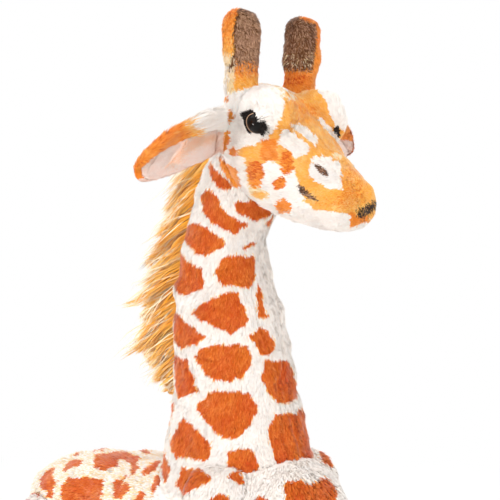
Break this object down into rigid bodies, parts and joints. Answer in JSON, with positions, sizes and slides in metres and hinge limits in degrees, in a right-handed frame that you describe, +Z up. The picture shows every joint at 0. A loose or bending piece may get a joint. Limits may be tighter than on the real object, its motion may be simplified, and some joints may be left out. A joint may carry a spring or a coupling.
{
  "type": "plush giraffe",
  "caption": "Standing stuffed giraffe toy with a long neck, sewn patchwork coat, soft horns, cupped ears on flexible seams, a hair mane, and a hanging tail with a tuft.",
  "frame": {"origin": "on the floor, under the middle of the toy's box", "axes": "+X towards the nose, +Y towards the giraffe's left side, +Z up"},
  "size_m": [0.5208, 0.3097, 0.7927],
  "materials": {
    "patch_coat": "long-napped plush, rust patches on cream",
    "face_coat": "long-napped amber plush with cream and rust markings",
    "horn_plush": "dense brown plush with an orange back panel",
    "ear_pile": "short pink pile",
    "eye_gloss": "glossy black with a tan rim",
    "washer_plastic": "plain moulded",
    "black_felt": "fuzzy black felt",
    "golden_hair": "long golden-brown synthetic hair",
    "hoof_plush": "dense dark brown plush"
  },
  "bodies": {
    "body": {"torso": "patch_coat", "neck": "patch_coat", "head": "face_coat", "horn_right": "horn_plush", "horn_left": "horn_plush", "eye_right": "eye_gloss", "eye_left": "eye_gloss", "eye_washer_right": "washer_plastic", "eye_washer_left": "washer_plastic", "eyelash_right": "black_felt", "eyelash_left": "black_felt", "mane": "golden_hair", "leg_front_right": "patch_coat", "leg_front_left": "patch_coat", "leg_hind_right": "patch_coat", "leg_hind_left": "patch_coat", "hoof_front_right": "hoof_plush", "hoof_front_left": "hoof_plush", "hoof_hind_right": "hoof_plush", "hoof_hind_left": "hoof_plush"},
    "ear_right": {"ear_right": "face_coat", "ear_lining_right": "ear_pile"},
    "ear_left": {"ear_left": "face_coat", "ear_lining_left": "ear_pile"},
    "tail": {"tail": "patch_coat", "tail_tuft": "golden_hair"}
  },
  "joints": [
    {"name": "ear_right_seam", "type": "hinge", "parent": "body", "child": "ear_right", "pos_m": [0.12666, -0.05297, 0.67016], "axis": [-0.4067, 0.1429, -0.9023], "range_deg": [-30, 30], "stiffness_Nm_per_rad": 0.05},
    {"name": "ear_left_seam", "type": "hinge", "parent": "body", "child": "ear_left", "pos_m": [0.12666, 0.05297, 0.67016], "axis": [0.4067, 0.0319, 0.913], "range_deg": [-30, 30], "stiffness_Nm_per_rad": 0.05},
    {"name": "tail_swing", "type": "hinge", "parent": "body", "child": "tail", "pos_m": [-0.23239, 0, 0.28296], "axis": [0, 1, 0], "range_deg": [0, 80]}
  ]
}
